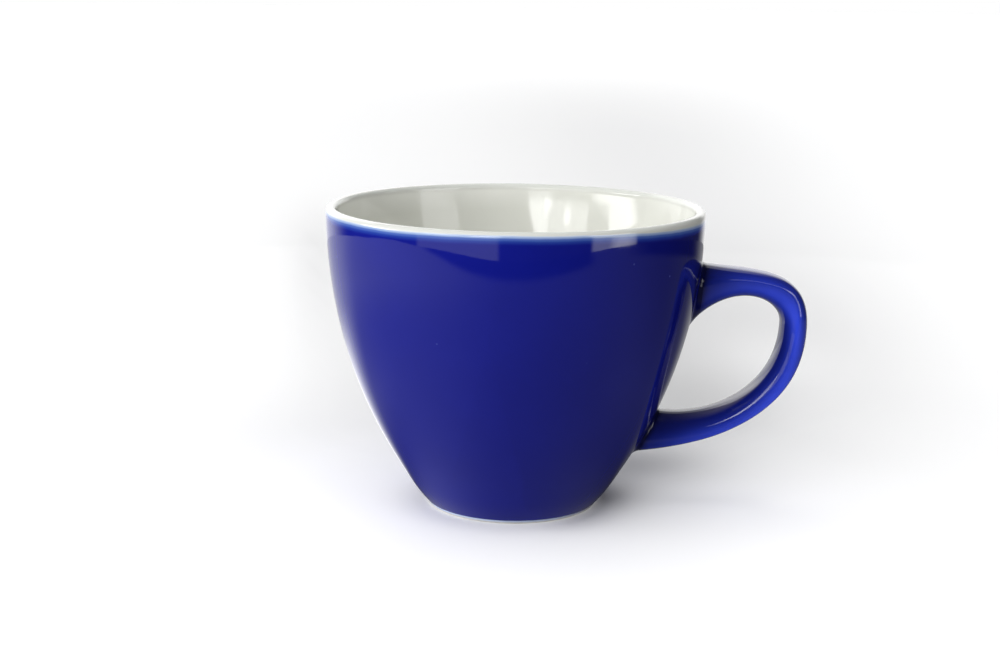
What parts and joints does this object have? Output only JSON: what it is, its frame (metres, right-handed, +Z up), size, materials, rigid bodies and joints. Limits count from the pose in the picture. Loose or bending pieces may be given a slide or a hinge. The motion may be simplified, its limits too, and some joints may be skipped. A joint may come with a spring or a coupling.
{
  "type": "mug",
  "caption": "Round tapering ceramic mug with a small bare foot, a white glazed inside and lip, a blue glazed outside and an ear-shaped handle.",
  "frame": {"origin": "middle of the whole mug's footprint box, handle included, on the table; the cup's axis stands 13.8 mm from it towards -X", "axes": "+Z up along the cup's axis, +X towards the handle"},
  "size_m": [0.1256, 0.098, 0.079],
  "materials": {
    "porcelain": "bare fired porcelain, matt",
    "white_glaze": "glossy warm white glaze",
    "blue_glaze": "glossy deep blue glaze",
    "pooled_glaze": "glossy, thick and almost black blue"
  },
  "bodies": {
    "root": {"cup_body": "porcelain", "handle": "porcelain", "inside_glaze": "white_glaze", "recess_glaze": "white_glaze", "wall_glaze": "blue_glaze", "handle_glaze": "blue_glaze", "upper_bead": "pooled_glaze", "lower_bead": "pooled_glaze"}
  },
  "joints": []
}
